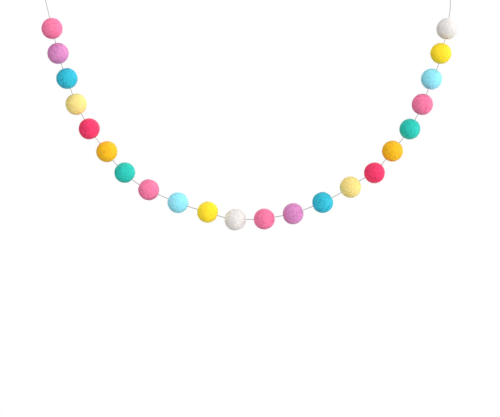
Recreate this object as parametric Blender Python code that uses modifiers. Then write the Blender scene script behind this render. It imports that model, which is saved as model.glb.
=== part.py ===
"""A felt ball garland: felted wool balls on one string, which hangs in a curve from a loop at each end.

The origin is the left hanging point, where the loop bears on whatever holds it. +X runs to the right hanging
point, +Z is up, and the garland hangs in the XZ plane.
"""

import math
from collections import namedtuple

import bmesh
import bpy
import numpy as np

MM = 0.001

# Every ball from left to right, in millimetres: its felt, how far its centre lies across from the left
# hanging point and how far below it, its diameter, and how far the string bows outward half way to the next
# ball's centre.
Ball = namedtuple("Ball", "felt across drop diameter bow")
BALLS = (
    Ball("pink", 18.0, 70.2, 25.1, -0.1),
    Ball("mauve", 25.1, 99.9, 25.2, 0.6),
    Ball("turquoise", 35.7, 129.7, 25.0, 0.1),
    Ball("pale_yellow", 46.8, 160.4, 25.4, -0.1),
    Ball("cerise", 62.2, 189.6, 25.0, 0.6),
    Ball("gold", 83.4, 216.8, 25.1, 1.6),
    Ball("sea_green", 104.6, 241.8, 24.7, 1.8),
    Ball("pink", 133.0, 262.2, 25.0, 0.5),
    Ball("pale_blue", 167.8, 277.5, 24.7, 0.7),
    Ball("yellow", 203.3, 288.7, 25.0, 1.0),
    Ball("white", 236.1, 297.7, 25.5, 0.1),
    Ball("pink", 270.6, 297.0, 25.0, 0.0),
    Ball("mauve", 304.9, 290.7, 25.0, 0.2),
    Ball("turquoise", 340.1, 277.2, 24.8, 0.6),
    Ball("pale_yellow", 373.1, 259.1, 25.4, -0.9),
    Ball("cerise", 401.7, 242.0, 24.8, 0.3),
    Ball("gold", 423.0, 216.1, 25.1, 0.6),
    Ball("sea_green", 443.8, 189.9, 24.6, 0.6),
    Ball("pink", 458.8, 160.5, 25.2, 0.5),
    Ball("pale_blue", 469.7, 130.4, 24.9, 2.0),
    Ball("yellow", 480.8, 99.9, 24.8, 0.7),
    Ball("white", 488.1, 70.6, 25.0, 0.0),
)
HANGING_POINTS_APART = 491.6

# The string, in millimetres. Each felt ball's needle hole leaves it a little room all round.
STRING_DIAMETER = 1.0
NEEDLE_HOLE_DIAMETER = 1.8
# The string wanders a little between its knots and the first and last balls.
Place = namedtuple("Place", "across drop")
LEFT_RUN = (Place(10.1, 36.3),)
RIGHT_RUN = (Place(490.9, 55.3), Place(492.1, 43.3))
# One end of the string, from the tip of its tail through the knot, round the hanging loop and back to the
# knot: millimetres out to the side of the pull, and below the hanging point along the pull.
EndPoint = namedtuple("EndPoint", "aside below")
END = (
    EndPoint(3.9, 31.6),
    EndPoint(2.2, 27.6),
    EndPoint(1.3, 24.1),
    EndPoint(1.8, 20.4),
    EndPoint(2.9, 14.6),
    EndPoint(3.5, 8.6),
    EndPoint(3.4, 3.5),
    EndPoint(2.85, 0.95),
    EndPoint(1.05, -0.5),
    EndPoint(-1.05, -0.5),
    EndPoint(-2.85, 0.95),
    EndPoint(-3.4, 3.5),
    EndPoint(-3.4, 8.6),
    EndPoint(-2.5, 14.6),
    EndPoint(-0.9, 20.4),
    EndPoint(0.0, 24.1),
)
# The knot's outline from top to bottom, about the middle of the knot on the pull.
KnotSection = namedtuple("KnotSection", "radius above")
KNOT_MIDDLE_BELOW = 24.1
KNOT = (
    KnotSection(0.0, 2.7),
    KnotSection(1.0, 2.5),
    KnotSection(1.75, 1.7),
    KnotSection(1.95, 0.6),
    KnotSection(1.8, 0.0),
    KnotSection(1.95, -0.6),
    KnotSection(1.75, -1.7),
    KnotSection(1.0, -2.5),
    KnotSection(0.0, -2.7),
)
KNOT_SIDES = 12

# A span of the string's route longer than this gets points inside it, read from the smooth curve.
LONGEST_SPAN = 20.0
# A curve's bevel resolution of 2 gives the string eight sides.
STRING_RESOLUTION = 2

# Felting leaves each ball a little uneven: broad soft waves, as a share of the radius.
BALL_SUBDIVISIONS = 3
WAVE_COUNT = 6
WAVE_SHARE = 0.010
WAVE_TURNS = (1.5, 3.5)

# The photographed colours, as red, green and blue from 0 to 255.
FELT_COLOURS = {
    "pink": (243, 122, 165),
    "mauve": (219, 134, 198),
    "turquoise": (42, 188, 216),
    "pale_yellow": (246, 226, 130),
    "cerise": (240, 52, 102),
    "gold": (246, 188, 30),
    "sea_green": (44, 198, 178),
    "pale_blue": (148, 230, 245),
    "yellow": (250, 224, 42),
    "white": (228, 221, 216),
}
STRING_COLOUR = (205, 203, 200)
FELT_ROUGHNESS = 0.95
STRING_ROUGHNESS = 0.85


def clear_scene():
    """Removes whatever the file started with."""
    for item in list(bpy.data.objects):
        bpy.data.objects.remove(item, do_unlink=True)


def collection(name):
    """A new collection in the scene."""
    made = bpy.data.collections.new(name)
    bpy.context.scene.collection.children.link(made)
    return made


def linear(colour):
    """A colour of 0 to 255 as the linear values that a shader takes."""
    share = np.array(colour) / 255
    return (*np.where(share <= 0.04045, share / 12.92, ((share + 0.055) / 1.055) ** 2.4), 1.0)


def material(name, colour, roughness):
    """A dull cloth material of one colour."""
    made = bpy.data.materials.new(name)
    made.use_nodes = True
    shader = made.node_tree.nodes["Principled BSDF"]
    shader.inputs["Base Color"].default_value = linear(colour)
    shader.inputs["Roughness"].default_value = roughness
    shader.inputs["Metallic"].default_value = 0.0
    return made


def centre(place):
    """The centre of a ball or of another place on the string, in metres."""
    return np.array((place.across, 0.0, -place.drop)) * MM


def end_points(hanging, towards, outward):
    """The points of one tied end. The pull runs from the hanging point towards the string's next point."""
    pull = (towards - hanging) / np.linalg.norm(towards - hanging)
    side = np.array((-pull[2], 0.0, pull[0]))
    if side[0] * outward < 0:
        side = -side
    return [hanging + (side * point.aside + pull * point.below) * MM for point in END]


def string_ends():
    """For each end: its hanging point, the string's next point below it, and which way is outward."""
    left = np.zeros(3)
    right = np.array((HANGING_POINTS_APART, 0.0, 0.0)) * MM
    return ((left, centre(LEFT_RUN[0]), -1), (right, centre(RIGHT_RUN[-1]), 1))


def through_balls():
    """The string's points from the first ball's centre to the last one's. Between each two centres there is
    one half way, as far outside the straight line between them as the string bows."""
    centres = [centre(ball) for ball in BALLS]
    points = centres[:1]
    for ball, here, there in zip(BALLS, centres, centres[1:]):
        along = (there - here) / np.linalg.norm(there - here)
        outside = np.array((along[2], 0.0, -along[0]))
        points += [(here + there) / 2 + outside * ball.bow * MM, there]
    return points


def string_route():
    """The string's own points: left tail, knot and loop, the run of balls, and the right end the same."""
    left, right = string_ends()
    run = [*map(centre, LEFT_RUN), *through_balls(), *map(centre, RIGHT_RUN)]
    return np.array(end_points(*left) + run + end_points(*right)[::-1])


def smooth(points):
    """Points on the smooth curve through the route's points: each span is a cubic whose slopes at its two
    ends run between the neighbours of those ends, and a long span gets points inside it."""
    around = np.vstack((2 * points[0] - points[1], points, 2 * points[-1] - points[-2]))
    made = []
    for before, start, end, after in zip(around, around[1:], around[2:], around[3:]):
        span = np.linalg.norm(end - start)
        count = math.ceil(span / (LONGEST_SPAN * MM))
        slope_in = (end - before) * span / (np.linalg.norm(start - before) + span)
        slope_out = (after - start) * span / (np.linalg.norm(after - end) + span)
        for step in range(count):
            t = step / count
            made.append(
                (2 * t**3 - 3 * t**2 + 1) * start
                + (t**3 - 2 * t**2 + t) * slope_in
                + (3 * t**2 - 2 * t**3) * end
                + (t**3 - t**2) * slope_out
            )
    return np.array([*made, points[-1]])


def tube(name, points, diameter, into):
    """A closed tube along the points, made a mesh with its caps joined."""
    curve = bpy.data.curves.new(name, "CURVE")
    curve.dimensions = "3D"
    curve.twist_mode = "MINIMUM"
    curve.bevel_depth = diameter / 2 * MM
    curve.bevel_resolution = STRING_RESOLUTION
    curve.use_fill_caps = True
    spline = curve.splines.new("POLY")
    spline.points.add(len(points) - 1)
    spline.points.foreach_set("co", np.column_stack((points, np.ones(len(points)))).ravel())
    guide = bpy.data.objects.new(name + "_guide", curve)
    into.objects.link(guide)
    mesh = bpy.data.meshes.new_from_object(guide.evaluated_get(bpy.context.evaluated_depsgraph_get()))
    mesh.name = name
    shell = bmesh.new()
    shell.from_mesh(mesh)
    bmesh.ops.remove_doubles(shell, verts=shell.verts, dist=0.00001)
    bmesh.ops.recalc_face_normals(shell, faces=shell.faces)
    shell.to_mesh(mesh)
    shell.free()
    made = bpy.data.objects.new(name, mesh)
    into.objects.link(made)
    made.matrix_world = guide.matrix_world
    bpy.data.objects.remove(guide, do_unlink=True)
    return made


def as_cutter(item):
    """Marks a shape that only cuts or joins others."""
    item.hide_render = True
    item.display_type = "WIRE"
    return item


def knot(name, hanging, towards, into):
    """A knot's closed outline turned about the pull, to be joined to the string."""
    pull = (towards - hanging) / np.linalg.norm(towards - hanging)
    outline = bpy.data.meshes.new(name)
    points = [(section.radius * MM, 0.0, section.above * MM) for section in KNOT]
    outline.from_pydata(points, [(i, i + 1) for i in range(len(points) - 1)], [])
    made = bpy.data.objects.new(name, outline)
    into.objects.link(made)
    made.location = hanging + pull * KNOT_MIDDLE_BELOW * MM
    made.rotation_euler[1] = math.atan2(-pull[0], -pull[2])
    turned = made.modifiers.new("turned", "SCREW")
    turned.steps = KNOT_SIDES
    turned.render_steps = KNOT_SIDES
    turned.use_merge_vertices = True
    turned.merge_threshold = 0.00001
    return as_cutter(made)


def combine(item, other, operation):
    """Joins another shape to an object, or cuts it out."""
    step = item.modifiers.new(other.name, "BOOLEAN")
    step.operation = operation
    step.solver = "EXACT"
    step.object = other


def string(points, into, cutters):
    """The string with its two loops, as one piece with the knots that close them."""
    made = tube("string", points, STRING_DIAMETER, into)
    for side, (hanging, towards, _) in zip(("left", "right"), string_ends()):
        combine(made, knot("knot_" + side, hanging, towards, cutters), "UNION")
    made.data.materials.append(material("string", STRING_COLOUR, STRING_ROUGHNESS))
    made.data.shade_smooth()
    return made


def unevenness(directions, seed):
    """How far a ball stands out in each direction, as a share of its radius: a few broad cosine waves,
    each along a direction of its own, about a mean of nothing."""
    chance = np.random.default_rng(seed)
    along = chance.normal(size=(WAVE_COUNT, 3))
    along /= np.linalg.norm(along, axis=1)[:, None]
    turns = chance.uniform(*WAVE_TURNS, WAVE_COUNT)
    starts = chance.uniform(0, math.tau, WAVE_COUNT)
    waves = np.cos(directions @ along.T * turns + starts).sum(axis=1)
    return WAVE_SHARE * (waves - waves.mean()) / math.sqrt(WAVE_COUNT / 2)


def felt_ball(number, ball, needle_hole, into):
    """A felted ball: an even sphere, moved in or out by the unevenness, with the needle hole cut."""
    shell = bmesh.new()
    bmesh.ops.create_icosphere(shell, subdivisions=BALL_SUBDIVISIONS, radius=1.0)
    name = f"ball_{number:02d}_{ball.felt}"
    mesh = bpy.data.meshes.new(name)
    shell.to_mesh(mesh)
    shell.free()
    directions = np.zeros(len(mesh.vertices) * 3)
    mesh.vertices.foreach_get("co", directions)
    directions = directions.reshape(-1, 3)
    radius = ball.diameter / 2 * MM * (1 + unevenness(directions, number))
    mesh.vertices.foreach_set("co", (directions * radius[:, None]).ravel())
    mesh.shade_smooth()
    made = bpy.data.objects.new(name, mesh)
    into.objects.link(made)
    made.location = centre(ball)
    combine(made, needle_hole, "DIFFERENCE")
    return made


def main():
    clear_scene()
    garland = collection("felt_ball_garland")
    cutters = collection("felt_ball_garland_cutters")
    hanger = bpy.data.objects.new("hanging_point", None)
    garland.objects.link(hanger)
    points = smooth(string_route())
    first = len(END)
    pieces = [string(points, garland, cutters)]
    needle_hole = as_cutter(tube("needle_hole", points[first:-first], NEEDLE_HOLE_DIAMETER, cutters))
    felts = {felt: material("felt_" + felt, colour, FELT_ROUGHNESS) for felt, colour in FELT_COLOURS.items()}
    for number, ball in enumerate(BALLS, start=1):
        made = felt_ball(number, ball, needle_hole, garland)
        made.data.materials.append(felts[ball.felt])
        pieces.append(made)
    for piece in pieces:
        piece.parent = hanger


main()
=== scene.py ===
"""The felt ball garland, dressed: felted wool balls on a twisted string with a knotted loop at each end."""

import math
from collections import namedtuple
from itertools import accumulate

import bpy
import numpy as np
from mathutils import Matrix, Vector


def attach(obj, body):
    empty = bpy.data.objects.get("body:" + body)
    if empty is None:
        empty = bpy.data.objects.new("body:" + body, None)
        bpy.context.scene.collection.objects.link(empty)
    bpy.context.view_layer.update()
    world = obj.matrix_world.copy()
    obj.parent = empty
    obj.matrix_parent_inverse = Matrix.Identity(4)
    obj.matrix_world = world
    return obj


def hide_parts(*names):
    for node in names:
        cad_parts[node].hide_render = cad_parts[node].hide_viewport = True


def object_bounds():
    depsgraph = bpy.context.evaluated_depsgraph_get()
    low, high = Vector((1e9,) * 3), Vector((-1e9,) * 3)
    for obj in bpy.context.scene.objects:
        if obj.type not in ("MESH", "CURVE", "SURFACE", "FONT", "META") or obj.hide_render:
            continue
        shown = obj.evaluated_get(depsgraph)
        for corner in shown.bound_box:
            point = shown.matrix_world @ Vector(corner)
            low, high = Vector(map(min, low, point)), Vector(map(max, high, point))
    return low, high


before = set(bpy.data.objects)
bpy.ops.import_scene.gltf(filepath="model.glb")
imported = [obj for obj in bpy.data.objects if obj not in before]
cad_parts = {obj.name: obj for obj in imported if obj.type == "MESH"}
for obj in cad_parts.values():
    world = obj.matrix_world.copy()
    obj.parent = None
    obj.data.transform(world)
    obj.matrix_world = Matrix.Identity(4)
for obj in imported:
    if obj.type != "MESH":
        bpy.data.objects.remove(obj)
cad_box = [list(corner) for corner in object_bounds()]

MM = 0.001

# Every ball from left to right, in millimetres: its felt, how far its centre lies across from the left
# hanging point and how far below it, its diameter, and how far the string bows outward half way to the next
# ball's centre.
Ball = namedtuple("Ball", "felt across drop diameter bow")
BALLS = (
    Ball("pink", 18.0, 70.2, 25.1, -0.1),
    Ball("mauve", 25.1, 99.9, 25.2, 0.6),
    Ball("turquoise", 35.7, 129.7, 25.0, 0.1),
    Ball("pale_yellow", 46.8, 160.4, 25.4, -0.1),
    Ball("cerise", 62.2, 189.6, 25.0, 0.6),
    Ball("gold", 83.4, 216.8, 25.1, 1.6),
    Ball("sea_green", 104.6, 241.8, 24.7, 1.8),
    Ball("pink", 133.0, 262.2, 25.0, 0.5),
    Ball("pale_blue", 167.8, 277.5, 24.7, 0.7),
    Ball("yellow", 203.3, 288.7, 25.0, 1.0),
    Ball("white", 236.1, 297.7, 25.5, 0.1),
    Ball("pink", 270.6, 297.0, 25.0, 0.0),
    Ball("mauve", 304.9, 290.7, 25.0, 0.2),
    Ball("turquoise", 340.1, 277.2, 24.8, 0.6),
    Ball("pale_yellow", 373.1, 259.1, 25.4, -0.9),
    Ball("cerise", 401.7, 242.0, 24.8, 0.3),
    Ball("gold", 423.0, 216.1, 25.1, 0.6),
    Ball("sea_green", 443.8, 189.9, 24.6, 0.6),
    Ball("pink", 458.8, 160.5, 25.2, 0.5),
    Ball("pale_blue", 469.7, 130.4, 24.9, 2.0),
    Ball("yellow", 480.8, 99.9, 24.8, 0.7),
    Ball("white", 488.1, 70.6, 25.0, 0.0),
)
HANGING_POINTS_APART = 491.6

# The string's route: the balls' centres, where it wanders before the first ball and after the last, and its
# tied ends. An end's points are millimetres out to the side of the pull, and below the hanging point along
# the pull.
STRING_DIAMETER = 1.0
Place = namedtuple("Place", "across drop")
LEFT_RUN = (Place(10.1, 36.3),)
RIGHT_RUN = (Place(490.9, 55.3), Place(492.1, 43.3))
EndPoint = namedtuple("EndPoint", "aside below")
END = (
    EndPoint(3.9, 31.6),
    EndPoint(2.2, 27.6),
    EndPoint(1.3, 24.1),
    EndPoint(1.8, 20.4),
    EndPoint(2.9, 14.6),
    EndPoint(3.5, 8.6),
    EndPoint(3.4, 3.5),
    EndPoint(2.85, 0.95),
    EndPoint(1.05, -0.5),
    EndPoint(-1.05, -0.5),
    EndPoint(-2.85, 0.95),
    EndPoint(-3.4, 3.5),
    EndPoint(-3.4, 8.6),
    EndPoint(-2.5, 14.6),
    EndPoint(-0.9, 20.4),
    EndPoint(0.0, 24.1),
)
KNOT_MIDDLE_BELOW = 24.1

# The photograph's view, straight on: its scale, and where its frame lies.
PICTURE_PIXELS = (500, 417)
MM_PER_PIXEL = 25 / 21
PICTURE_MIDDLE_ACROSS = 253.6
PICTURE_TOP_DROP = 36.3
LENS = 100.0
SENSOR = 36.0

# The three plies of the string, their lay, and the grid that carries them.
PLIES = 3
PLY_GROOVE = 0.2
TWIST_PITCH = 3.6
STRING_AROUND = 18
STRING_STEP = 0.36
SPAN_STEPS = 60
TIP_STEPS = 3

# The wound turns that close each knot, about the two strands that run through it, in millimetres: how far
# their middle lies aside of the pull, and half their width and depth. They dive inward over this share of
# their run at each end, to this share of their reach, and bulge by this share in the middle.
KNOT_TURNS = 4.0
KNOT_ASIDE = 0.65
KNOT_HEIGHT = 3.9
KNOT_HALF_WIDTH = 1.6
KNOT_HALF_DEPTH = 1.05
KNOT_DIVE = 0.1
KNOT_DIVE_REACH = 0.15
KNOT_BULGE = 0.14

# Felting leaves each ball a little uneven: broad soft waves, as a share of the radius.
WAVE_COUNT = 6
WAVE_SHARE = 0.010
WAVE_TURNS = (1.5, 3.5)
# Their mean is taken over this many even directions.
EVEN_DIRECTIONS = 600

# Finer relief of a ball: how many waves, how many radians they turn in a radius, and how high, in mm.
Relief = namedtuple("Relief", "count turns height")
LUMPS = Relief(28, (7.0, 15.0), 0.042)
GRAIN = Relief(90, (18.0, 44.0), 0.036)
# Creases and dimples left by rolling the wet wool, in mm. A crease bends to one side by up to this share of
# its half length, and wavers by this much.
CREASES = (3, 6)
CREASE_LENGTH = (4.0, 10.0)
CREASE_WIDTH = (0.45, 0.8)
CREASE_DEPTH = (0.16, 0.42)
CREASE_BEND = 0.35
CREASE_WAVER = 0.3
DIMPLES = (5, 10)
DIMPLE_WIDTH = (0.8, 1.9)
DIMPLE_DEPTH = (0.10, 0.30)
# One crease of each ball lies about here, low down towards the viewer, and the rest lie anywhere.
LOW_CREASE = (0.1, -0.7, -0.7)
LOW_CREASE_STRAY = 0.3
# The felt draws in where the needle went through, and grips the string.
PUCKER_DEPTH = 0.75
PUCKER_WIDTH = 1.7
# This share of the pucker's depth also darkens the felt as painted shade.
PUCKER_SHADE = 0.6
HOLE_RADIUS = 0.56
# The felt's surface goes back through the hole between these shares of the string's run in the ball.
HOLE_SPAN = (0.92, 0.08)

BALL_AROUND = 128
BALL_ROWS = 92
HOLE_ROWS = 8

# Stray fibres: how many on a ball and on the string, and their size in mm.
BALL_HAIRS = 520
STRING_HAIRS = 1200
FRAY_HAIRS = 60
FRAY_REACH = 4
HAIR_LENGTH = (0.7, 3.8)
STRING_HAIR_LENGTH = (0.6, 1.8)
FRAY_LENGTH = (1.0, 2.6)
# How far from the string's middle they are rooted, as a share of its radius.
STRING_HAIR_SEAT = 0.9
FRAY_SEAT = (0.1, 0.8)
HAIR_RADIUS = 0.024
HAIR_TAPER = 0.65
HAIR_STEPS = 4
HAIR_SIDES = 3
# As shares of a fibre's length: how far it lifts off and sways aside, how much of the lift it loses again,
# and how deep its root sits. It also runs less far along, by this share of its lift.
HAIR_LIFT = (0.12, 0.75)
HAIR_SWAY = (-0.7, 0.7)
HAIR_DROOP = (0.1, 0.9)
HAIR_ROOT = 0.03
HAIR_SHORTENING = 0.25
# The second number of the random draws for a ball's fibres, after the ball's own.
HAIR_DRAW = 7

# The wool's colours, as red, green and blue from 0 to 255: a deep one, between the fibres and as the
# painted shade of its hollows, and one on its open fibres.
Wool = namedtuple("Wool", "deep open")
WOOLS = {
    "pink": Wool((213, 76, 125), (239, 121, 161)),
    "mauve": Wool((177, 93, 155), (211, 133, 188)),
    "turquoise": Wool((0, 142, 174), (42, 185, 209)),
    "pale_yellow": Wool((225, 196, 94), (238, 216, 134)),
    "cerise": Wool((201, 14, 63), (237, 52, 105)),
    "gold": Wool((224, 152, 1), (239, 183, 7)),
    "sea_green": Wool((0, 149, 131), (31, 196, 181)),
    "pale_blue": Wool((112, 196, 220), (144, 225, 239)),
    "yellow": Wool((242, 199, 4), (250, 220, 37)),
    "white": Wool((206, 200, 195), (223, 219, 216)),
}
STRING_COLOURS = Wool((140, 136, 133), (199, 196, 193))

# How the fibres of matted wool lie: the turn of each layer, in radians, and how far it is drawn out.
FIBRE_TURNS = ((0.3, 0.2, 0.0), (1.4, 0.5, 0.9), (0.6, 1.5, 2.2), (2.1, 1.0, 1.3))
FIBRE_STRETCH = 5.0
FIBRE_SCALE = 1900.0
FIBRE_WIDTH = 0.045
FIBRE_NOISE = {"Detail": 1.5, "Distortion": 0.7}
FIBRE_HEIGHT = 0.35
CLOUD_SCALE = 420.0
CLOUD_NOISE = {"Detail": 5.0, "Roughness": 0.62}
# How much the clouds, the fibres and the hollows shift the felt between its deep and its open colour. The
# hollows' shift is painted shade.
CLOUD_START = 0.26
CLOUD_GAIN = 2.6
FIBRE_GAIN = 0.45
HOLLOW_SHADE_GAIN = 1.8
# A single fibre is paler along some of its length, by up to this share of white.
PALE_NOISE = {"Scale": 900.0, "Detail": 1.0}
PALE_SHARE = 0.25

# The string's fibres: their noise, drawn out along the plies and counted round them, how far it shifts the
# string between its two colours about this share of the open one, and how much painted shade the grooves
# take off it.
STRING_LAY = (600.0, 40.0, 1.0)
STRING_NOISE = {"Scale": 1.0, "Detail": 4.0, "Roughness": 0.65}
STRING_GAIN = 1.8
STRING_OPEN = 0.85
GROOVE_SHADE_GAIN = 0.8

# How each finish takes the light: settings of its bump and of its shader. A bump's distance is in metres.
FELT_BUMP = {"Strength": 0.8, "Distance": 0.00016}
FELT_SHADER = {"Roughness": 0.72, "Specular IOR Level": 0.3, "Sheen Weight": 0.3, "Sheen Roughness": 0.3}
FIBRE_SHADER = {"Roughness": 0.6}
STRING_BUMP = {"Strength": 0.6, "Distance": 0.00006}
STRING_SHADER = {"Roughness": 0.8, "Specular IOR Level": 0.3, "Sheen Weight": 0.2}

# The studio's soft lights: how far round each stands to the right of the viewer and how high, in degrees,
# and how strong it is.
SoftLight = namedtuple("SoftLight", "name round high strength")
SOFT_LIGHTS = (
    SoftLight("light_right", 90, 0, 1.92),
    SoftLight("light_front_right", 45, 0, 2.38),
    SoftLight("light_front_left", -45, 0, 1.66),
    SoftLight("light_above", 0, 90, 1.55),
    SoftLight("light_below", 0, -90, 0.55),
    SoftLight("light_edge", 135, 40, 0.65),
    SoftLight("light_back", 180, 0, 1.20),
)
# How wide each light's disc looks, in degrees, and how strong the light of the backdrop itself is.
LIGHT_SPREAD = 50
FILL = 0.17

# The floor, in metres: how far below it lies and how wide it is. Under the garland it is this share of the
# backdrop's white, and it fades to all of it between these distances.
FLOOR_DROP = 2.2
FLOOR_SIDE = 24.0
FLOOR_SEEN = 0.88
FLOOR_FADE = (1.0, 8.0)


def linear(colour):
    """A colour of 0 to 255 as the linear values that a shader takes."""
    share = np.array(colour) / 255
    return (*np.where(share <= 0.04045, share / 12.92, ((share + 0.055) / 1.055) ** 2.4), 1.0)


def unit(vectors):
    """Vectors cut or stretched to a length of one."""
    vectors = np.asarray(vectors, float)
    return vectors / np.linalg.norm(vectors, axis=-1, keepdims=True)


def place(across, drop):
    """A point of the hanging plane, in metres, from millimetres across and below the left hanging point."""
    return np.array((across, 0.0, -drop)) * MM


def make_camera():
    """The photograph's camera: straight on, and so far away that its frame spans the picture's width."""
    width = PICTURE_PIXELS[0] * MM_PER_PIXEL * MM
    height = PICTURE_PIXELS[1] * MM_PER_PIXEL * MM
    data = bpy.data.cameras.new("camera")
    data.lens = LENS
    data.sensor_width = SENSOR
    data.clip_end = 100.0
    camera = bpy.data.objects.new("camera", data)
    bpy.context.scene.collection.objects.link(camera)
    middle_drop = PICTURE_TOP_DROP * MM + height / 2
    camera.location = (PICTURE_MIDDLE_ACROSS * MM, -width * LENS / SENSOR, -middle_drop)
    camera.rotation_euler = (math.pi / 2, 0.0, 0.0)
    bpy.context.scene.camera = camera


def string_ends():
    """For each end: its hanging point, the unit pull down the string, and the unit side, outward."""
    left, right = place(0.0, 0.0), place(HANGING_POINTS_APART, 0.0)
    first, last = place(*LEFT_RUN[0]), place(*RIGHT_RUN[-1])
    pulls = unit(first - left), unit(last - right)
    return (
        (left, pulls[0], np.array((pulls[0][2], 0.0, -pulls[0][0]))),
        (right, pulls[1], np.array((-pulls[1][2], 0.0, pulls[1][0]))),
    )


def through_balls():
    """The string's points from the first ball's centre to the last one's. Between each two centres there is
    one half way, as far outside the straight line between them as the string bows."""
    centres = [place(ball.across, ball.drop) for ball in BALLS]
    points = centres[:1]
    for ball, here, there in zip(BALLS, centres, centres[1:]):
        along = unit(there - here)
        outside = np.array((along[2], 0.0, -along[0]))
        points += [(here + there) / 2 + outside * ball.bow * MM, there]
    return points


def string_route():
    """The string's own points: left tail, knot and loop, the run of balls, and the right end the same."""
    left, right = (
        [hanging + (side * point.aside + pull * point.below) * MM for point in END]
        for hanging, pull, side in string_ends()
    )
    before, after = ([place(*point) for point in run] for run in (LEFT_RUN, RIGHT_RUN))
    return np.array(left + before + through_balls() + after + right[::-1])


def even_line(line, step):
    """A line again with even steps: its length is measured along its points, and cut into equal parts."""
    along = np.concatenate(([0.0], np.cumsum(np.linalg.norm(np.diff(line, axis=0), axis=1))))
    even = np.linspace(0.0, along[-1], math.ceil(along[-1] / step) + 1)
    return np.column_stack([np.interp(even, along, line[:, axis]) for axis in range(3)])


def smooth_line(route, step):
    """Even points on the smooth curve through a route. Each span is a cubic whose slopes at its two ends
    run between the neighbours of those ends, and all the spans are worked out at once."""
    around = np.vstack((2 * route[0] - route[1], route, 2 * route[-1] - route[-2]))
    before, start, end, after = around[:-3], around[1:-2], around[2:-1], around[3:]
    span = np.linalg.norm(end - start, axis=1, keepdims=True)
    slope_in = (end - before) * span / (np.linalg.norm(start - before, axis=1, keepdims=True) + span)
    slope_out = (after - start) * span / (np.linalg.norm(after - end, axis=1, keepdims=True) + span)
    t = np.linspace(0.0, 1.0, SPAN_STEPS, endpoint=False)[None, :, None]
    line = (
        (2 * t**3 - 3 * t**2 + 1) * start[:, None]
        + (t**3 - 2 * t**2 + t) * slope_in[:, None]
        + (3 * t**2 - 2 * t**3) * end[:, None]
        + (t**3 - t**2) * slope_out[:, None]
    )
    return even_line(np.vstack((line.reshape(-1, 3), route[-1])), step)


def frames_along(line, first_side):
    """The tangent at each point of a line, and two directions across it. The first side is carried along:
    at each point it keeps only the part square to the new tangent, so it never turns about the line."""
    tangents = unit(np.gradient(line, axis=0))

    def carried(side, tangent):
        return unit(side - tangent * (side @ tangent))

    start = carried(np.asarray(first_side, float), tangents[0])
    sides = np.array(list(accumulate(tangents[1:], carried, initial=start)))
    return tangents, sides, np.cross(tangents, sides)


def band(rows, columns, closed):
    """The quads of a grid whose columns close in a ring, and whose rows close too if asked."""
    row = np.arange(rows if closed else rows - 1)[:, None]
    column = np.arange(columns)[None, :]
    here, there = row * columns, (row + 1) % rows * columns
    step = (column + 1) % columns
    return np.stack((here + column, here + step, there + step, there + column), axis=-1).reshape(-1, 4)


def outward(points, quads, triangles):
    """The faces, all turned round if they enclose a negative volume: the sum of each triangle's corners'
    triple product, a sixth of which is the space under it."""
    cut = np.vstack((quads[:, [0, 1, 2]], quads[:, [0, 2, 3]], triangles))
    a, b, c = (points[cut[:, k]] - points.mean(axis=0) for k in range(3))
    if (a * np.cross(b, c)).sum() < 0:
        return quads[:, ::-1], triangles[:, ::-1]
    return quads, triangles


def add_piece(name, points, quads, triangles, finish, slot, replaced=None, uv=None, masks=None):
    """A new piece from arrays, smooth, riding on the garland's one body. uv holds a pair for each point,
    and masks holds named values for each point."""
    quads, triangles = outward(points, quads, triangles)
    corners = np.concatenate((quads.ravel(), triangles.ravel())).astype(np.int32)
    starts = np.concatenate(
        (np.arange(len(quads)) * 4, quads.size + np.arange(len(triangles)) * 3)
    ).astype(np.int32)
    mesh = bpy.data.meshes.new(name)
    mesh.vertices.add(len(points))
    mesh.vertices.foreach_set("co", points.astype(np.float32).ravel())
    mesh.loops.add(len(corners))
    mesh.loops.foreach_set("vertex_index", corners)
    mesh.polygons.add(len(starts))
    mesh.polygons.foreach_set("loop_start", starts)
    mesh.update(calc_edges=True)
    mesh.shade_smooth()
    if uv is not None:
        layer = mesh.uv_layers.new(name="along")
        layer.data.foreach_set("uv", uv[corners].astype(np.float32).ravel())
    for mask, values in (masks or {}).items():
        layer = mesh.attributes.new(mask, "FLOAT", "POINT")
        layer.data.foreach_set("value", values.astype(np.float32))
    mesh.materials.append(finish)
    piece = bpy.data.objects.new(name, mesh)
    bpy.context.scene.collection.objects.link(piece)
    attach(piece, "root")
    if replaced:
        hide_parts(replaced)
    return piece


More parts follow.
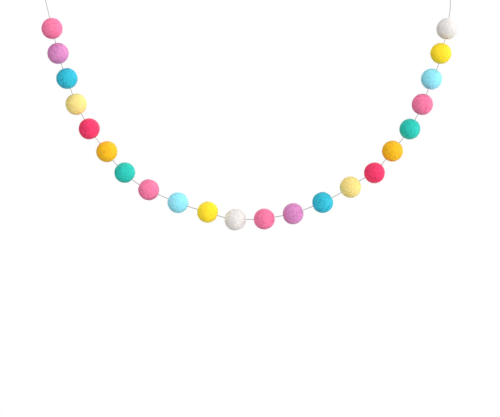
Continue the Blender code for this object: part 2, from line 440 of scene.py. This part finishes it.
def twisted_strand(line, first_side):
    """The points, faces and UVs of a plied strand. A ring whose radius swells once for each ply, as
    1 - PLY_GROOVE + PLY_GROOVE * |cos(plies / 2 * angle)|, is carried along the line and turned once each
    pitch.
    The first and last rings shrink, and close on a point."""
    _, sides, ups = frames_along(line, first_side)
    angle = np.linspace(0.0, math.tau, STRING_AROUND, endpoint=False)
    along = np.concatenate(([0.0], np.cumsum(np.linalg.norm(np.diff(line, axis=0), axis=1))))
    turn = angle[None, :] + math.tau * (along / (TWIST_PITCH * MM))[:, None]
    swell = 1 - PLY_GROOVE + PLY_GROOVE * np.abs(np.cos(PLIES / 2 * angle))[None, :]
    from_end = np.minimum(np.arange(len(line)), np.arange(len(line))[::-1])
    shrink = np.sqrt(np.clip((from_end + 0.5) / TIP_STEPS, 0.0, 1.0))[:, None]
    radius = STRING_DIAMETER / 2 * MM * swell * shrink
    rings = line[:, None] + (radius * np.cos(turn))[..., None] * sides[:, None]
    rings = rings + (radius * np.sin(turn))[..., None] * ups[:, None]
    points = np.vstack((rings.reshape(-1, 3), line[0], line[-1]))
    ring = np.arange(STRING_AROUND)
    last = (len(line) - 1) * STRING_AROUND
    first_tip, last_tip = len(points) - 2, len(points) - 1
    following = (ring + 1) % STRING_AROUND
    triangles = np.vstack(
        (
            np.column_stack((np.full(STRING_AROUND, first_tip), following, ring)),
            np.column_stack((np.full(STRING_AROUND, last_tip), last + ring, last + following)),
        )
    )
    uv = np.stack(np.broadcast_arrays(along[:, None], angle[None, :] / math.tau), axis=-1).reshape(-1, 2)
    uv = np.vstack((uv, uv[:1], uv[-1:]))
    return points, band(len(line), STRING_AROUND, False), triangles, uv


def knot_line(hanging, pull, side):
    """The path of a knot's wound turns: an oval spiral about the pull, which bulges in the middle and dives
    between the two strands at its ends."""
    share = np.linspace(0.0, 1.0, math.ceil(KNOT_TURNS * SPAN_STEPS))
    angle = math.tau * KNOT_TURNS * share + math.pi / 2
    dive = np.clip(np.minimum(share, 1 - share) / KNOT_DIVE, 0.0, 1.0)
    reach = KNOT_DIVE_REACH + (1 - KNOT_DIVE_REACH) * dive**2 * (3 - 2 * dive)
    reach = reach * (1 + KNOT_BULGE * np.sin(math.pi * share))
    depth = np.array((0.0, -1.0, 0.0))
    line = (
        hanging
        + KNOT_MIDDLE_BELOW * pull * MM
        + (KNOT_ASIDE + KNOT_HALF_WIDTH * reach * np.cos(angle))[:, None] * side * MM
        + (KNOT_HALF_DEPTH * reach * np.sin(angle))[:, None] * depth * MM
        + ((share - 0.5) * KNOT_HEIGHT)[:, None] * pull * MM
    )
    return even_line(line, STRING_STEP * MM)


def waves(directions, chance, count, turns):
    """A few cosine waves over a ball, each along a direction of its own, with a spread of about one."""
    along = unit(chance.normal(size=(count, 3)))
    turned = chance.uniform(*turns, count)
    starts = chance.uniform(0, math.tau, count)
    return np.cos(directions @ along.T * turned + starts).sum(axis=1) / math.sqrt(count / 2)


def spiral(count):
    """Even directions all round: equal steps of height, each turned by the golden angle from the last."""
    step = np.arange(count) + 0.5
    height = 1 - 2 * step / count
    turn = math.pi * (1 + math.sqrt(5)) * step
    level = np.sqrt(1 - height**2)
    return np.column_stack((level * np.cos(turn), level * np.sin(turn), height))


def unevenness(directions, number):
    """How far a ball stands out in each direction, as a share of its radius, about a mean of nothing."""
    both = np.vstack((directions, spiral(EVEN_DIRECTIONS)))
    made = waves(both, np.random.default_rng(number), WAVE_COUNT, WAVE_TURNS)
    return WAVE_SHARE * (made[: len(directions)] - made[len(directions) :].mean())


def hollows(directions, radius, chance):
    """How deep each direction of a ball lies in a crease or a dimple, in metres. A crease is a stretch of a
    wavering line on the ball, and a dimple a round spot. Both fade as the bell curve of the distance."""
    depth = np.zeros(len(directions))
    for count in range(chance.integers(*CREASES)):
        anywhere = chance.normal(size=3)
        middle = unit(anywhere if count else LOW_CREASE + LOW_CREASE_STRAY * anywhere)
        along = unit(np.cross(middle, chance.normal(size=3)))
        across = np.cross(middle, along)
        half = chance.uniform(*CREASE_LENGTH) / 2 * MM
        run = np.arcsin(np.clip(directions @ along, -1, 1)) * radius
        bend = chance.uniform(-CREASE_BEND, CREASE_BEND) * run**2 / half
        waver = CREASE_WAVER * MM * np.sin(run / MM + chance.uniform(0, 6))
        off = np.arcsin(np.clip(directions @ across, -1, 1)) * radius - (bend + waver)
        width = chance.uniform(*CREASE_WIDTH) * MM
        fade = np.exp(-((run / half) ** 4)) * (directions @ middle > 0)
        depth += chance.uniform(*CREASE_DEPTH) * MM * np.exp(-((off / width) ** 2)) * fade
    for _ in range(chance.integers(*DIMPLES)):
        middle = unit(chance.normal(size=3))
        away = np.arccos(np.clip(directions @ middle, -1, 1)) * radius
        width = chance.uniform(*DIMPLE_WIDTH) * MM
        depth += chance.uniform(*DIMPLE_DEPTH) * MM * np.exp(-((away / width) ** 2))
    return depth


def ball_radius(directions, ball, number, mouths):
    """How far the felt reaches in each direction from a ball's centre, in metres, and how deep it lies in
    its hollows, the mask of the felt's painted shade: the round radius with its broad waves, lumps and
    grain, less the creases, dimples and the pucker round each mouth of the needle hole."""
    radius = ball.diameter / 2 * MM
    chance = np.random.default_rng((number, len(BALLS)))
    fine = sum(
        waves(directions, chance, relief.count, relief.turns) * relief.height * MM
        for relief in (LUMPS, GRAIN)
    )
    sunk = hollows(directions, radius, chance)
    away = np.arccos(np.clip(directions @ np.array(mouths).T, -1, 1)).min(axis=1) * radius
    pucker = PUCKER_DEPTH * MM * np.exp(-((away / (PUCKER_WIDTH * MM)) ** 2))
    reach = radius * (1 + unevenness(directions, number)) + fine - sunk - pucker
    return reach, sunk + pucker * PUCKER_SHADE


def ball_mouths(centre, radius, line):
    """The two directions in which the string meets a ball, and its own line inside."""
    inside = line[np.linalg.norm(line - centre, axis=1) < radius]
    return unit(inside[0] - centre), unit(inside[-1] - centre), inside


def ball_shape(ball, number, line):
    """The points, faces and painted shade mask of a felt ball, from its hollows. Rows of rings run from one
    mouth of the needle hole round the ball to the other, about an axis that leans from the one mouth to the
    other, and then back through the hole along the string, so that the surface closes on itself with no
    poles."""
    centre = place(ball.across, ball.drop)
    radius = ball.diameter / 2 * MM
    entry, leaving, inside = ball_mouths(centre, radius, line)
    level = np.array((0.0, 1.0, 0.0))
    side = unit(np.cross(entry - leaving, level))
    angle = np.linspace(0.0, math.tau, BALL_AROUND, endpoint=False)
    ring = np.cos(angle)[:, None] * side + np.sin(angle)[:, None] * level
    rim = math.asin(HOLE_RADIUS * MM / (radius - PUCKER_DEPTH * MM))
    share = np.linspace(0.0, 1.0, BALL_ROWS)
    polar = (rim + (math.pi - 2 * rim) * share)[:, None, None]
    axis = entry * (1 - share[:, None, None]) - leaving * share[:, None, None]
    directions = unit(np.cos(polar) * axis + np.sin(polar) * ring[None]).reshape(-1, 3)
    reach, sunk = ball_radius(directions, ball, number, (entry, leaving))
    outer = centre + directions * reach[:, None]
    back = np.linspace(*HOLE_SPAN, HOLE_ROWS) * (len(inside) - 1)
    middle = np.column_stack([np.interp(back, np.arange(len(inside)), inside[:, k]) for k in range(3)])
    hole = (middle[:, None] + ring[None] * HOLE_RADIUS * MM).reshape(-1, 3)
    points = np.vstack((outer, hole))
    # The mask of painted shade: the hollows' depth, and the pucker's full depth inside the needle hole.
    mask = np.concatenate((sunk, np.full(len(hole), PUCKER_DEPTH * MM))) / MM
    return points, band(BALL_ROWS + HOLE_ROWS, BALL_AROUND, True), mask


def hair_arrays(roots, normals, lengths, chance, lean=None):
    """The points and faces of stray fibres. Each leaves its root nearly flat to the surface, along its lean
    if it has one. It runs on by t, rises by lift * (t - droop * t squared), sways aside by t squared and
    tapers. A ring of three corners is carried along it, closed at both ends."""
    count = len(roots)
    if lean is None:
        lean = unit(np.cross(normals, unit(chance.normal(size=(count, 3)))))
    bend = np.cross(normals, lean)
    lift = chance.uniform(*HAIR_LIFT, count)[:, None, None]
    sway = chance.uniform(*HAIR_SWAY, count)[:, None, None]
    droop = chance.uniform(*HAIR_DROOP, count)[:, None, None]
    t = np.linspace(0.0, 1.0, HAIR_STEPS)[None, :, None]
    length = lengths[:, None, None]
    line = roots[:, None] + length * (
        lean[:, None] * t * (1 - HAIR_SHORTENING * lift)
        + bend[:, None] * sway * t**2
        + normals[:, None] * (lift * (t - droop * t**2) - HAIR_ROOT)
    )
    tangents = unit(np.gradient(line, axis=1))
    across = unit(np.cross(tangents, bend[:, None] + 0.01))
    over = np.cross(tangents, across)
    angle = np.linspace(0.0, math.tau, HAIR_SIDES, endpoint=False)[None, None, :, None]
    thick = HAIR_RADIUS * MM * (1 - HAIR_TAPER * t)[..., None]
    ring = np.cos(angle) * across[:, :, None] + np.sin(angle) * over[:, :, None]
    points = line[:, :, None] + thick * ring
    size = HAIR_STEPS * HAIR_SIDES
    first = (np.arange(count) * size)[:, None, None]
    quads = (first + band(HAIR_STEPS, HAIR_SIDES, False)[None]).reshape(-1, 4)
    triangles = np.vstack((first[:, 0] + [2, 1, 0], first[:, 0] + [size - 3, size - 2, size - 1]))
    return points.reshape(-1, 3), quads, triangles


def group_of(name, inputs, outputs):
    """An empty shader group with named inputs, each with its value, and named outputs."""
    tree = bpy.data.node_groups.new(name, "ShaderNodeTree")
    for socket, (kind, value) in inputs.items():
        made = tree.interface.new_socket(socket, in_out="INPUT", socket_type=kind)
        if value is not None:
            made.default_value = value
    for socket, kind in outputs.items():
        tree.interface.new_socket(socket, in_out="OUTPUT", socket_type=kind)
    return tree, tree.nodes.new("NodeGroupInput"), tree.nodes.new("NodeGroupOutput")


def add_node(tree, kind, settings=None, **inputs):
    """A shader node with its settings, and its inputs set or joined. An input's name has _ for a space."""
    made = tree.nodes.new(kind)
    for name, value in (settings or {}).items():
        setattr(made, name, value)
    for name, value in inputs.items():
        socket = made.inputs[int(name[1:])] if name[1:].isdigit() else made.inputs[name.replace("_", " ")]
        if isinstance(value, bpy.types.NodeSocket):
            tree.links.new(value, socket)
        else:
            socket.default_value = value
    return made


def arithmetic(tree, operation, first, second, clamped=False):
    """The result of a sum of two values."""
    settings = {"operation": operation, "use_clamp": clamped}
    return add_node(tree, "ShaderNodeMath", settings, _0=first, _1=second).outputs[0]


def wool_group():
    """Matted wool: soft clouds of colour, fine curled fibres, and their height. The fibres are the contour
    lines of noises that are stretched along axes of their own: 1 where a noise is a half, and 0 from a set
    share to either side."""
    numbers = ("Cloud Scale", "Fibre Scale", "Fibre Width")
    inputs = {"Vector": ("NodeSocketVector", None)} | {name: ("NodeSocketFloat", 1.0) for name in numbers}
    outputs = {name: "NodeSocketFloat" for name in ("Clouds", "Fibres", "Height")}
    tree, given, put_out = group_of("Matted wool", inputs, outputs)
    start = given.outputs
    clouds = add_node(
        tree, "ShaderNodeTexNoise", Vector=start["Vector"], Scale=start["Cloud Scale"], **CLOUD_NOISE
    ).outputs["Fac"]
    fibres = 0.0
    for turn in FIBRE_TURNS:
        laid = add_node(
            tree, "ShaderNodeMapping", {"vector_type": "TEXTURE"}, Vector=start["Vector"], Rotation=turn,
            Scale=(FIBRE_STRETCH, 1.0, 1.0),
        ).outputs["Vector"]
        noise = add_node(
            tree, "ShaderNodeTexNoise", Vector=laid, Scale=start["Fibre Scale"], **FIBRE_NOISE
        ).outputs["Fac"]
        away = arithmetic(tree, "ABSOLUTE", arithmetic(tree, "SUBTRACT", noise, 0.5), 0.0)
        away = arithmetic(tree, "DIVIDE", away, start["Fibre Width"])
        line = arithmetic(tree, "SUBTRACT", 1.0, away, clamped=True)
        fibres = arithmetic(tree, "MAXIMUM", fibres, line)
    height = arithmetic(tree, "ADD", arithmetic(tree, "MULTIPLY", fibres, FIBRE_HEIGHT), clouds)
    for name, value in (("Clouds", clouds), ("Fibres", fibres), ("Height", height)):
        tree.links.new(value, put_out.inputs[name])
    return tree


WOOL_GROUP = wool_group()


def finish_tree(name, settings):
    """A new material, its tree, and its shader with its settings."""
    made = bpy.data.materials.new(name)
    made.use_nodes = True
    shader = made.node_tree.nodes["Principled BSDF"]
    for socket, value in settings.items():
        shader.inputs[socket].default_value = value
    return made, made.node_tree, shader


def colour_between(tree, share, deep, opened):
    """The colour that lies this share of the way from the deep colour to the open one."""
    settings = {"data_type": "RGBA"}
    return add_node(
        tree, "ShaderNodeMix", settings, _0=share, _6=linear(deep), _7=linear(opened)
    ).outputs[2]


def felt_finish(name, wool):
    """Felted wool: its deep colour between the fibres and as painted shade in the hollows, its open colour
    on them, no shine but a soft one from the fibres' ends at a grazing angle."""
    made, tree, shader = finish_tree(name, FELT_SHADER)
    where = add_node(tree, "ShaderNodeTexCoord").outputs["Object"]
    matted = add_node(
        tree, "ShaderNodeGroup", {"node_tree": WOOL_GROUP}, Vector=where, Cloud_Scale=CLOUD_SCALE,
        Fibre_Scale=FIBRE_SCALE, Fibre_Width=FIBRE_WIDTH,
    ).outputs
    hollow = add_node(tree, "ShaderNodeAttribute", {"attribute_name": "hollow"}).outputs["Fac"]
    cloudy = arithmetic(tree, "SUBTRACT", matted["Clouds"], CLOUD_START)
    cloudy = arithmetic(tree, "MULTIPLY", cloudy, CLOUD_GAIN)
    streaky = arithmetic(tree, "ADD", cloudy, arithmetic(tree, "MULTIPLY", matted["Fibres"], FIBRE_GAIN))
    # Painted shade: the hollows' depth moves the felt towards its deep colour.
    sunk = arithmetic(tree, "MULTIPLY", hollow, HOLLOW_SHADE_GAIN)
    share = arithmetic(tree, "SUBTRACT", streaky, sunk, clamped=True)
    tree.links.new(colour_between(tree, share, wool.deep, wool.open), shader.inputs["Base Color"])
    bump = add_node(tree, "ShaderNodeBump", Height=matted["Height"], **FELT_BUMP)
    tree.links.new(bump.outputs["Normal"], shader.inputs["Normal"])
    return made


def hair_finish(name, wool):
    """One wool fibre: its open colour, a little paler along some of its length."""
    made, tree, shader = finish_tree(name, FIBRE_SHADER)
    where = add_node(tree, "ShaderNodeTexCoord").outputs["Object"]
    share = add_node(tree, "ShaderNodeTexNoise", Vector=where, **PALE_NOISE).outputs["Fac"]
    pale = tuple(value + PALE_SHARE * (255 - value) for value in wool.open)
    tree.links.new(colour_between(tree, share, wool.open, pale), shader.inputs["Base Color"])
    return made


def string_finish():
    """Twisted cotton: fine fibres along the plies, with painted shade in the grooves between them."""
    made, tree, shader = finish_tree("twisted_cotton", STRING_SHADER)
    along = add_node(tree, "ShaderNodeUVMap", {"uv_map": "along"}).outputs["UV"]
    groove = add_node(tree, "ShaderNodeAttribute", {"attribute_name": "groove"}).outputs["Fac"]
    laid = add_node(tree, "ShaderNodeMapping", Vector=along, Scale=STRING_LAY).outputs["Vector"]
    fibres = add_node(tree, "ShaderNodeTexNoise", Vector=laid, **STRING_NOISE).outputs["Fac"]
    share = arithmetic(tree, "MULTIPLY", arithmetic(tree, "SUBTRACT", fibres, 0.5), STRING_GAIN)
    share = arithmetic(tree, "ADD", share, STRING_OPEN)
    # Painted shade: the grooves between the plies move the string towards its darker colour.
    shade = arithmetic(tree, "MULTIPLY", groove, GROOVE_SHADE_GAIN)
    share = arithmetic(tree, "SUBTRACT", share, shade, clamped=True)
    colour = colour_between(tree, share, STRING_COLOURS.deep, STRING_COLOURS.open)
    tree.links.new(colour, shader.inputs["Base Color"])
    bump = add_node(tree, "ShaderNodeBump", Height=fibres, **STRING_BUMP)
    tree.links.new(bump.outputs["Normal"], shader.inputs["Normal"])
    return made


def add_strand(name, line, first_side, finish, replaced=None):
    """A piece of twisted string along a line, with its grooves marked for painted shade."""
    points, quads, triangles, uv = twisted_strand(line, first_side)
    angle = uv[:, 1] * math.tau
    # The grooves between the plies, as a mask for painted shade.
    groove = 1 - np.abs(np.cos(PLIES / 2 * angle))
    return add_piece(name, points, quads, triangles, finish, "string", replaced, uv, {"groove": groove})


def make_string():
    """The string with its loops and knots, and its stray fibres. Returns its line."""
    finish = string_finish()
    line = smooth_line(string_route(), STRING_STEP * MM)
    string = add_strand("twisted_string", line, (1.0, 0.0, 0.0), finish, "string")
    knots = [
        add_strand(name, knot_line(*end), (1.0, 0.2, 0.3), finish)
        for name, end in zip(("knot_left", "knot_right"), string_ends())
    ]
    add_piece("string_fibres", *string_hairs(line), hair_finish("cotton_fibre", STRING_COLOURS), "string")
    return line


def string_hairs(line):
    """The string's stray fibres, which lie along it, and the ones that fray at its two cut tips."""
    chance = np.random.default_rng(len(line))
    back = chance.integers(0, FRAY_REACH, 2 * FRAY_HAIRS) * np.repeat((1, -1), FRAY_HAIRS)
    tips = np.repeat((0, len(line) - 1), FRAY_HAIRS) + back
    at = np.concatenate((chance.integers(0, len(line) - 1, STRING_HAIRS), tips))
    tangents = unit(np.gradient(line, axis=0))[at]
    normals = unit(np.cross(tangents, chance.normal(size=(len(at), 3))))
    either_way = chance.choice((-1.0, 1.0), STRING_HAIRS)
    outwards = np.repeat((-1.0, 1.0), FRAY_HAIRS)
    lean = tangents * np.concatenate((either_way, outwards))[:, None]
    lengths = np.concatenate(
        (chance.uniform(*STRING_HAIR_LENGTH, STRING_HAIRS), chance.uniform(*FRAY_LENGTH, 2 * FRAY_HAIRS))
    )
    seats = np.concatenate(
        (np.full(STRING_HAIRS, STRING_HAIR_SEAT), chance.uniform(*FRAY_SEAT, 2 * FRAY_HAIRS))
    )
    roots = line[at] + normals * seats[:, None] * STRING_DIAMETER / 2 * MM
    return hair_arrays(roots, normals, lengths * MM, chance, lean)


def make_ball(number, ball, line, felt, fibre):
    """One felt ball, in place of its solid, and the stray fibres that stand off it."""
    points, quads, sunk = ball_shape(ball, number, line)
    no_triangles = np.zeros((0, 3), int)
    node = f"ball_{number:02d}_{ball.felt}"
    slot = "felt_" + ball.felt
    # The felt carries its hollows' depth as the mask of its painted shade.
    add_piece(f"felt_{node}", points, quads, no_triangles, felt, slot, node, masks={"hollow": sunk})
    chance = np.random.default_rng((number, HAIR_DRAW))
    centre = place(ball.across, ball.drop)
    entry, leaving, _ = ball_mouths(centre, ball.diameter / 2 * MM, line)
    normals = unit(chance.normal(size=(BALL_HAIRS, 3)))
    reach, _ = ball_radius(normals, ball, number, (entry, leaving))
    shortest, longest = HAIR_LENGTH
    lengths = (shortest + (longest - shortest) * chance.uniform(size=BALL_HAIRS) ** 2) * MM
    arrays = hair_arrays(centre + normals * reach[:, None], normals, lengths, chance)
    add_piece(f"fibres_{node}", *arrays, fibre, slot)


def make_lights():
    """The soft lights, each a wide far-off disc, so that the balls at both ends get the same light."""
    for light in SOFT_LIGHTS:
        data = bpy.data.lights.new(light.name, "SUN")
        data.energy = light.strength
        data.angle = math.radians(LIGHT_SPREAD)
        lamp = bpy.data.objects.new(light.name, data)
        bpy.context.scene.collection.objects.link(lamp)
        turn, rise = math.radians(light.round), math.radians(light.high)
        level = Vector((math.sin(turn), -math.cos(turn), 0.0))
        towards = level * math.cos(rise) + Vector((0.0, 0.0, math.sin(rise)))
        lamp.rotation_euler = towards.to_track_quat("Z", "Y").to_euler()


def make_world():
    """A white backdrop all round, which itself gives only a little light."""
    world = bpy.data.worlds.new("studio")
    bpy.context.scene.world = world
    world.use_nodes = True
    tree = world.node_tree
    tree.nodes.clear()
    seen = add_node(tree, "ShaderNodeBackground", Color=(1.0, 1.0, 1.0, 1.0), Strength=1.0)
    lit = add_node(tree, "ShaderNodeBackground", Color=(1.0, 1.0, 1.0, 1.0), Strength=FILL)
    ray = add_node(tree, "ShaderNodeLightPath").outputs["Is Camera Ray"]
    mixed = add_node(tree, "ShaderNodeMixShader", _0=ray, _1=lit.outputs[0], _2=seen.outputs[0])
    out = tree.nodes.new("ShaderNodeOutputWorld")
    tree.links.new(mixed.outputs[0], out.inputs["Surface"])


def make_floor():
    """A pale floor that fades into the white backdrop. Only the viewer sees it: light goes through it."""
    half = FLOOR_SIDE / 2
    middle = [sum(corner[axis] for corner in cad_box) / 2 for axis in range(3)]
    mesh = bpy.data.meshes.new("floor")
    corners = [(x * half, y * half, 0.0) for x, y in ((-1, -1), (1, -1), (1, 1), (-1, 1))]
    mesh.from_pydata(corners, [], [(0, 1, 2, 3)])
    floor = bpy.data.objects.new("floor", mesh)
    floor.location = (middle[0], middle[1], -FLOOR_DROP)
    floor.visible_shadow = floor.visible_diffuse = floor.visible_glossy = False
    bpy.context.scene.collection.objects.link(floor)
    made = bpy.data.materials.new("pale_floor")
    made.use_nodes = True
    tree = made.node_tree
    tree.nodes.clear()
    where = add_node(tree, "ShaderNodeTexCoord").outputs["Object"]
    away = add_node(tree, "ShaderNodeVectorMath", {"operation": "LENGTH"}, _0=where).outputs["Value"]
    near, far = FLOOR_FADE
    faded = add_node(
        tree, "ShaderNodeMapRange", {"interpolation_type": "SMOOTHSTEP"}, Value=away, From_Min=near,
        From_Max=far, To_Min=FLOOR_SEEN, To_Max=1.0,
    ).outputs["Result"]
    seen = add_node(tree, "ShaderNodeEmission", Strength=faded)
    add_node(tree, "ShaderNodeOutputMaterial", Surface=seen.outputs[0])
    mesh.materials.append(made)


def main():
    make_camera()
    line = make_string()
    felts = {felt: felt_finish("felted_" + felt, wool) for felt, wool in WOOLS.items()}
    fibres = {felt: hair_finish("fibre_" + felt, wool) for felt, wool in WOOLS.items()}
    for number, ball in enumerate(BALLS, start=1):
        make_ball(number, ball, line, felts[ball.felt], fibres[ball.felt])
    make_lights()
    make_world()
    make_floor()
    bpy.context.scene.view_settings.view_transform = "Standard"


main()
